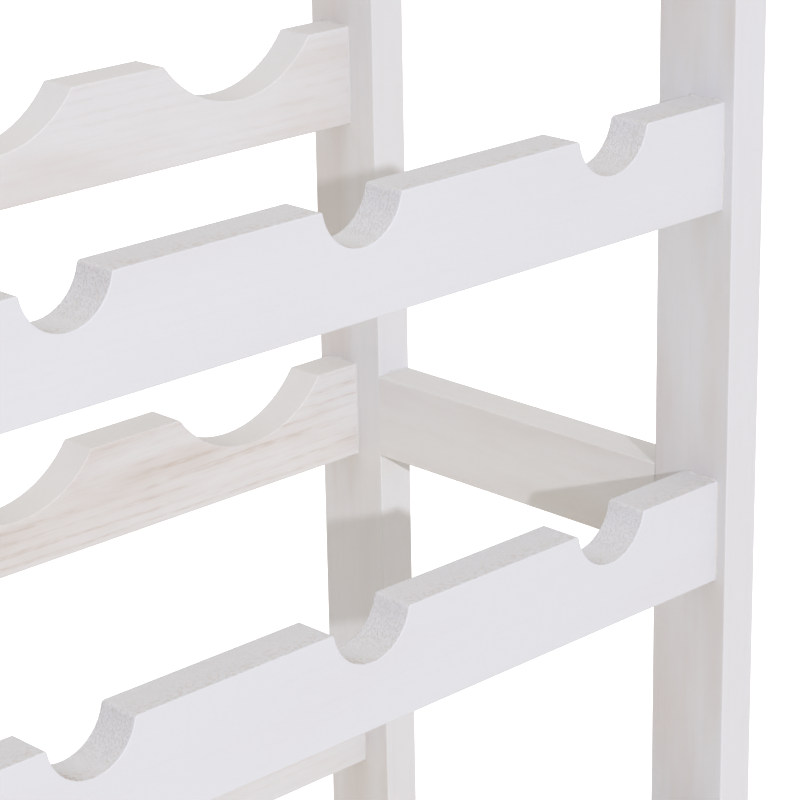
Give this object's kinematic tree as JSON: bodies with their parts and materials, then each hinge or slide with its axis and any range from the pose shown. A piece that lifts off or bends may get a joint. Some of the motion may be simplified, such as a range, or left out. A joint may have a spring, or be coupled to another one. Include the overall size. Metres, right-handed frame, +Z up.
{
  "type": "wine rack",
  "caption": "Free-standing painted wooden wine rack: two ladder side frames joined by scalloped rails that hold bottles lying down.",
  "frame": {"origin": "on the floor at the centre of the rack", "axes": "+Z up, -Y towards the front (bottle necks), +X to the right seen from the front"},
  "size_m": [0.4468, 0.194, 0.615],
  "materials": {
    "painted_posts": "thin satin white paint, faint vertical grain",
    "painted_rails": "thin satin white paint, warm grain showing through",
    "painted_stretchers": "thin satin white paint",
    "dowel_wood": "bare wood",
    "zinc_steel": "zinc plated"
  },
  "bodies": {
    "root": {"front_left_post": "painted_posts", "front_right_post": "painted_posts", "rear_left_post": "painted_posts", "rear_right_post": "painted_posts", "front_rail_tier_1": "painted_rails", "front_rail_tier_2": "painted_rails", "front_rail_tier_3": "painted_rails", "front_rail_tier_4": "painted_rails", "front_rail_tier_5": "painted_rails", "rear_rail_tier_1": "painted_rails", "rear_rail_tier_2": "painted_rails", "rear_rail_tier_3": "painted_rails", "rear_rail_tier_4": "painted_rails", "rear_rail_tier_5": "painted_rails", "bottom_left_stretcher": "painted_stretchers", "bottom_right_stretcher": "painted_stretchers", "middle_left_stretcher": "painted_stretchers", "middle_right_stretcher": "painted_stretchers", "top_left_stretcher": "painted_stretchers", "top_right_stretcher": "painted_stretchers", "rail_dowels": "dowel_wood", "stretcher_dowels": "dowel_wood", "rail_screws": "zinc_steel"}
  },
  "joints": []
}
